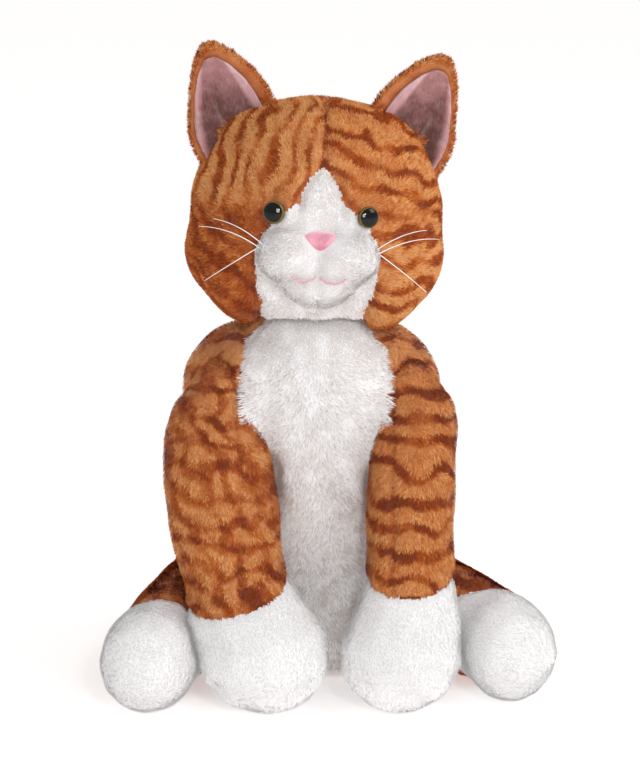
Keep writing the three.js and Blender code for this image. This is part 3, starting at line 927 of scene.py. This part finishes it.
# ---------- eyes
def lathe(profile, middle, axis, sides=64):
    """Points and faces of a closed turned form. The profile is (radius, height) pairs."""
    across = unit(np.cross(axis, (0.1, 0.2, 1)))
    up = np.cross(axis, across)
    points = []
    for radius, height in profile:
        for s in range(sides):
            turn = 2 * math.pi * s / sides
            spoke = math.cos(turn) * across + math.sin(turn) * up
            points.append(middle + radius * spoke + height * axis)
    faces = []
    for r in range(len(profile) - 1):
        for s in range(sides):
            t = (s + 1) % sides
            faces.append((r * sides + s, r * sides + t, (r + 1) * sides + t, (r + 1) * sides + s))
    faces.append(tuple(range(sides))[::-1])
    faces.append(tuple(range((len(profile) - 1) * sides, len(profile) * sides)))
    return points, faces


def eye_materials():
    pupil = Nodes("eye_pupil", Base_Color=srgb(3, 3, 3), Roughness=0.05, Specular_IOR_Level=0.3)
    wear = pupil.add("TexNoise", {"Scale": 300.0, "Detail": 3.0})
    rough = pupil.add("MapRange", {"Value": wear.outputs["Fac"], 3: 0.03, 4: 0.08})
    pupil.tree.links.new(rough.outputs[0], pupil.shader.inputs["Roughness"])
    iris = Nodes("eye_iris", Roughness=0.15, Specular_IOR_Level=0.3)
    rays = iris.add("TexNoise", {"Scale": 700.0, "Detail": 2.0})
    iris.colour(iris.ramp(rays.outputs["Fac"], [(0.3, srgb(74, 56, 16)), (0.7, srgb(142, 112, 34))]))
    return pupil.material, iris.material


def add_eyes():
    pupil, iris = eye_materials()
    for s in SIDES:
        low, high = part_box("eye_" + s)
        middle = box_middle("eye_" + s)
        radius = (high.z - low.z) / 2
        axis = unit(middle - on_head(0, 10, 2))
        front = (np.array([v.co for v in frame["nodes"]["eye_" + s].data.vertices]) - middle) @ axis
        dome = radius * 0.5
        top = front.max()
        profile = [(radius * 0.75, top - dome - 3 * MM), (radius * 1.0, top - dome - 0.6 * MM)]
        profile += [(radius * 1.02, top - dome)]
        for k in range(1, 15):
            turn = (k / 15) * math.pi / 2
            profile.append((radius * math.cos(turn), top - dome + dome * math.sin(turn)))
        points, faces = lathe(profile, middle, axis)
        eye = mesh_object(f"eye_{s}_dome", points, faces)
        eye.data.materials.append(pupil)
        eye.data.materials.append(iris)
        for face in eye.data.polygons:
            from_axis = np.array(face.center) - middle
            from_axis = np.linalg.norm(from_axis - (from_axis @ axis) * axis)
            face.material_index = int(0.88 * radius < from_axis < 0.99 * radius)
        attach(eye, "head")
        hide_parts("eye_" + s)


add_eyes()


# ---------- nose and mouth
def on_face(x, z, above):
    """The point above the face's skin at x, z in the head's own axes, all in millimetres."""
    start = Vector(on_head(x, -120, z))
    place, normal, _, _ = HEAD_TREE.ray_cast(start, Vector(HEAD_Y))
    return np.array(place) + above * MM * np.array(normal)


def satin(name, stops, scale):
    """Shiny satin thread or cloth with a fine weave. The mesh's shade lightens or darkens it; on the
    nose and the ear linings that shade holds painted highlight and painted shade.
    """
    nodes = Nodes(name, Roughness=0.42, Sheen_Weight=0.4, Specular_IOR_Level=0.2)
    place = nodes.rest_place()
    shade = nodes.add("Attribute", attribute_name="shade").outputs["Fac"]
    stretched = nodes.add("Mapping", {"Vector": place, "Scale": (scale, scale, scale * 0.12)})
    weave = nodes.add("TexNoise", {"Vector": stretched.outputs[0], "Scale": 1.0, "Detail": 3.0})
    broad = nodes.add("TexNoise", {"Vector": place, "Scale": 160.0, "Detail": 2.0})
    both = nodes.add("Math", {0: weave.outputs["Fac"], 1: broad.outputs["Fac"]}, operation="ADD")
    low = nodes.add("Math", {0: both.outputs[0], 1: 0.4, 2: -0.4}, operation="MULTIPLY_ADD")
    total = nodes.add("Math", {0: low.outputs[0], 1: shade}, operation="ADD")
    nodes.colour(nodes.ramp(total.outputs[0], [(p, srgb(*rgb)) for p, rgb in stops]))
    nodes.bump(weave.outputs["Fac"], 0.35, 0.15 * MM)
    return nodes.material


def add_nose():
    """Satin stitch: upright threads side by side over a padded, rounded triangle."""
    STITCHES = 27
    PER_STITCH = 4
    ROWS = 14
    low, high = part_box("nose_patch")
    centre = in_head(box_middle("nose_patch")[None])[0]
    half_width = (high.x - low.x) / 2 / MM * 0.98
    half_height = (high.z - low.z) / 2 / MM
    columns = STITCHES * PER_STITCH
    points, shade = [], []
    for i in range(columns + 1):
        t = 2 * i / columns - 1
        top = half_height * (0.9 - 0.45 * abs(t) ** 3)
        bottom = half_height * (-1 + 1.45 * abs(t) ** 1.5)
        ridge = 0.22 * abs(math.sin(math.pi * i / PER_STITCH))
        for j in range(ROWS + 1):
            v = j / ROWS
            crown = math.sqrt(max(0, 1 - abs(2 * v - 1) ** 2.6)) * math.sqrt(max(0, 1 - abs(t) ** 4))
            height = -0.6 + (3.1 * crown + ridge * crown)
            z = bottom + (top - bottom) * v
            points.append(on_face(centre[0] + t * half_width, centre[2] + z, height))
            # Lighter along the top edge, which is a painted highlight on the satin, and darker towards
            # the lower middle.
            deep = math.exp(-((t / 0.55) ** 2)) * (1 - v)
            shade.append(0.5 + 0.45 * smoothstep(0.6, 1, v) - 0.45 * deep)
    step = ROWS + 1
    faces = []
    for i in range(columns):
        for j in range(ROWS):
            a = i * step + j
            faces.append((a, a + step, a + step + 1, a + 1))
    nose = mesh_object("nose_satin_stitch", points, faces)
    stops = [(0.0, (205, 116, 136)), (0.5, (233, 170, 186)), (1.0, (250, 224, 232))]
    nose.data.materials.append(satin("nose_satin", stops, 2600.0))
    rests(nose, np.array(shade))
    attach(nose, "head")
    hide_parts("nose_patch")


def tube(path, radii, sides=8):
    """Points and faces of a closed tube along a path."""
    path = np.array(path)
    points, faces = [], []
    for k, (place, radius) in enumerate(zip(path, radii)):
        along = unit(path[min(k + 1, len(path) - 1)] - path[max(k - 1, 0)])
        across = unit(np.cross(along, (0.2, 1, 0.1)))
        up = np.cross(along, across)
        for s in range(sides):
            turn = 2 * math.pi * s / sides
            points.append(place + radius * (math.cos(turn) * across + math.sin(turn) * up))
    for k in range(len(path) - 1):
        for s in range(sides):
            t = (s + 1) % sides
            faces.append((k * sides + s, k * sides + t, (k + 1) * sides + t, (k + 1) * sides + s))
    faces.append(tuple(range(sides))[::-1])
    faces.append(tuple(range((len(path) - 1) * sides, len(path) * sides)))
    return points, faces


def join_forms(forms):
    points, faces = [], []
    for more_points, more_faces in forms:
        faces += [tuple(i + len(points) for i in f) for f in more_faces]
        points += list(more_points)
    return points, faces


def add_mouth():
    thread = satin("mouth_thread", [(0.0, (206, 120, 138)), (1.0, (246, 190, 202))], 3000.0)
    STITCHES = 6
    for s, sign in SIDES.items():
        low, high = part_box("mouth_stitch_" + s)
        inner = in_head(np.array([(low if sign > 0 else high)[:]]))[0][0]
        outer = in_head(np.array([(high if sign > 0 else low)[:]]))[0][0]
        level = in_head(box_middle("mouth_stitch_" + s)[None])[0][2]
        forms = []
        for k in range(STITCHES):
            path = []
            for u in np.linspace(k / STITCHES + 0.01, (k + 1) / STITCHES - 0.01, 7):
                x = inner + (outer - inner) * u
                z = level + 2.8 - 9.0 * u * (1 - u) * 1.6 + 2 * u
                share = (u * STITCHES) % 1
                path.append(on_face(x, z, 2.0 + 0.5 * math.sin(math.pi * share)))
            forms.append(tube(path, [0.5 * MM] * len(path)))
        piece = mesh_object(f"mouth_{s}_thread", *join_forms(forms))
        piece.data.materials.append(thread)
        rests(piece)
        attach(piece, "head")
        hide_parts("mouth_stitch_" + s)


add_nose()
add_mouth()


# ---------- ears
def remeshed_copy(name, node, voxel, smoothing):
    mesh = frame["nodes"][node].data
    obj = mesh_object(name, point_array(mesh), face_list(mesh))
    apply_modifier(obj, "REMESH", mode="VOXEL", voxel_size=voxel, use_smooth_shade=True)
    apply_modifier(obj, "SMOOTH", factor=0.5, iterations=smoothing)
    return obj


def tucked(points):
    """Sinks the foot of an ear into the head, so no gap shows at its seam."""
    half = np.array((80.5, 66, 74))
    outside = np.linalg.norm(in_head(points) / half, axis=1)
    depth = 7 * MM * smoothstep(1.12, 1.0, outside)
    return points - depth[:, None] * normalised(points - HEAD_MIDDLE)


def add_ear_back(s, sign):
    back = remeshed_copy(f"ear_{s}_plush", f"ear_{s}_back", 1.3 * MM, 4)
    points = tucked(point_array(back.data))
    back.data.vertices.foreach_set("co", points.ravel())
    quads = np.array([p.vertices[:] for p in back.data.polygons])
    lining_tree = Skin.tree_of(f"ear_{s}_lining")
    rim = np.array([lining_tree.find_nearest(p)[3] for p in points])
    foot = on_head(sign * EAR_FOOT[0], EAR_FOOT[1], EAR_FOOT[2] - 5)
    length = lambda root, seam: np.full(len(root), 4.2 * MM)
    coat = ginger(length, from_point(foot), ear_tabby, density=1.3, lift=0.45)
    rests(back, ear_tabby(points))
    back.data.materials.append(GINGER_BACKING)
    furred = quads[rim[quads].mean(axis=1) > 1.2 * MM]
    strands = grow(f"ear_{s}_pile", points, furred, vertex_normals(points, quads), rim, coat, 50 + sign)
    for part in (back, strands):
        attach(part, "head")
    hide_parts(f"ear_{s}_back")


def add_ear_lining(s, sign):
    lining = remeshed_copy(f"ear_{s}_satin", f"ear_{s}_lining", 0.9 * MM, 3)
    points = tucked(point_array(lining.data))
    q = in_head(points) * (sign, 1, 1) - EAR_FOOT
    across = q[:, 0] - 0.4 * q[:, 2]
    fold = 1.5 * np.sin(across / 4.6) * smoothstep(40, 6, q[:, 2])
    fold += 0.8 * (noise(q, 9, 50 + sign) - 0.5)
    points += (fold * MM)[:, None] * HEAD_Y
    outer_edge = q[:, 0].max()
    points += (0.1 * (outer_edge - q[:, 0]) * MM * sign)[:, None] * HEAD_X
    points -= (0.05 * np.maximum(q[:, 2], 0) * MM)[:, None] * HEAD_Z
    lining.data.vertices.foreach_set("co", points.ravel())
    # Darkest at the ear's foot, which is painted shade in the hollow of the ear; lighter up the ear and
    # towards its sides.
    height = smoothstep(6, 44, q[:, 2])
    spread = abs(across) / (26 - 0.42 * np.clip(q[:, 2], 0, 50))
    shade = 0.02 + 0.34 * height + 0.42 * smoothstep(0.74, 1.0, spread)
    stops = [(0.0, (92, 50, 44)), (0.35, (166, 116, 116)), (0.7, (200, 158, 162))]
    stops.append((1.0, (232, 202, 206)))
    lining.data.materials.append(satin("ear_satin_" + s, stops, 2000.0))
    rests(lining, shade)
    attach(lining, "head")
    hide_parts(f"ear_{s}_lining")


for s, sign in SIDES.items():
    add_ear_back(s, sign)
    add_ear_lining(s, sign)


# ---------- whiskers
def add_whiskers():
    """Thin filaments from each CAD whisker's root to its tip, springing up a little on the way."""
    look = plain_material("whisker_filament", srgb(250, 250, 250), srgb(232, 232, 230), 900.0, 0.35, 0.1)
    STEPS = 16
    for s, sign in SIDES.items():
        for row, rise in (("upper", 3.5), ("middle", 4.0), ("lower", 1.0)):
            node = f"whisker_{s}_{row}"
            ends = in_head(point_array(frame["nodes"][node].data))
            reach = sign * ends[:, 0]
            root = ends[reach < reach.min() + 1].mean(axis=0)
            tip = ends[reach > reach.max() - 1].mean(axis=0)
            root = root - 0.25 * (tip - root) + (0, 3, 0)
            path, radii = [], []
            for k in range(STEPS + 1):
                t = k / STEPS
                place = root + t * (tip - root) + np.array((0, -4, rise)) * 4 * t * (1 - t)
                path.append(on_head(*place))
                radii.append((0.32 - 0.16 * t) * MM)
            piece = mesh_object(node + "_filament", *tube(path, radii))
            piece.data.materials.append(look)
            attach(piece, "head")
            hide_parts(node)


# ---------- CAD nodes that stay
def plain_material(name, light, dark, scale, roughness, bump):
    nodes = Nodes(name, Roughness=roughness)
    grain = nodes.add("TexNoise", {"Scale": scale, "Detail": 4.0})
    nodes.colour(nodes.ramp(grain.outputs["Fac"], [(0.35, dark), (0.65, light)]))
    nodes.bump(grain.outputs["Fac"], bump, 0.2 * MM)
    return nodes.material


def dress_cad_nodes():
    washer = plain_material("washer_nylon", srgb(226, 224, 216), srgb(208, 205, 196), 500.0, 0.45, 0.2)
    pouch = plain_material("pouch_cotton", srgb(222, 214, 198), srgb(196, 186, 168), 1500.0, 0.9, 0.6)
    for name, node in frame["nodes"].items():
        found = [m for key, m in (("washer", washer), ("pouch", pouch)) if key in name]
        if found:
            node.data.materials.clear()
            node.data.materials.append(found[0])


add_whiskers()
dress_cad_nodes()


# ---------- floor and light
def add_stage():
    REACH = 15
    corners = [(-REACH, -REACH, 0), (REACH, -REACH, 0), (REACH, REACH, 0), (-REACH, REACH, 0)]
    floor = mesh_object("floor", corners, [(0, 1, 2, 3)])
    nodes = Nodes("floor_paper", Roughness=0.9, Base_Color=srgb(246, 244, 243))
    nodes.shader.inputs["Emission Color"].default_value = (1, 1, 1, 1)
    nodes.shader.inputs["Emission Strength"].default_value = 0.42
    floor.data.materials.append(nodes.material)


def add_light(name, place, size, power, aim, only_gloss=False):
    light = bpy.data.lights.new(name, "AREA")
    light.energy = power
    light.size = size
    lamp = bpy.data.objects.new(name, light)
    lamp.location = place
    lamp.rotation_euler = (Vector(aim) - Vector(place)).to_track_quat("-Z", "Y").to_euler()
    lamp.visible_diffuse = not only_gloss
    bpy.context.scene.collection.objects.link(lamp)


def add_world(strength):
    world = bpy.data.worlds.new("studio")
    world.use_nodes = True
    background = world.node_tree.nodes["Background"]
    background.inputs["Color"].default_value = (1, 1, 1, 1)
    background.inputs["Strength"].default_value = strength
    bpy.context.scene.world = world


add_stage()
add_world(0.62)
add_light("key", (0.35, -1.75, 1.0), 0.22, 8, (0, 0, 0.25))
add_light("eye_glint", (0.0, -1.6, 0.7), 0.6, 22, (0, 0, 0.28), only_gloss=True)
add_light("side", (1.5, -0.6, 1.5), 1.0, 14, (0, 0, 0.2))
bpy.context.scene.view_settings.view_transform = "Standard"
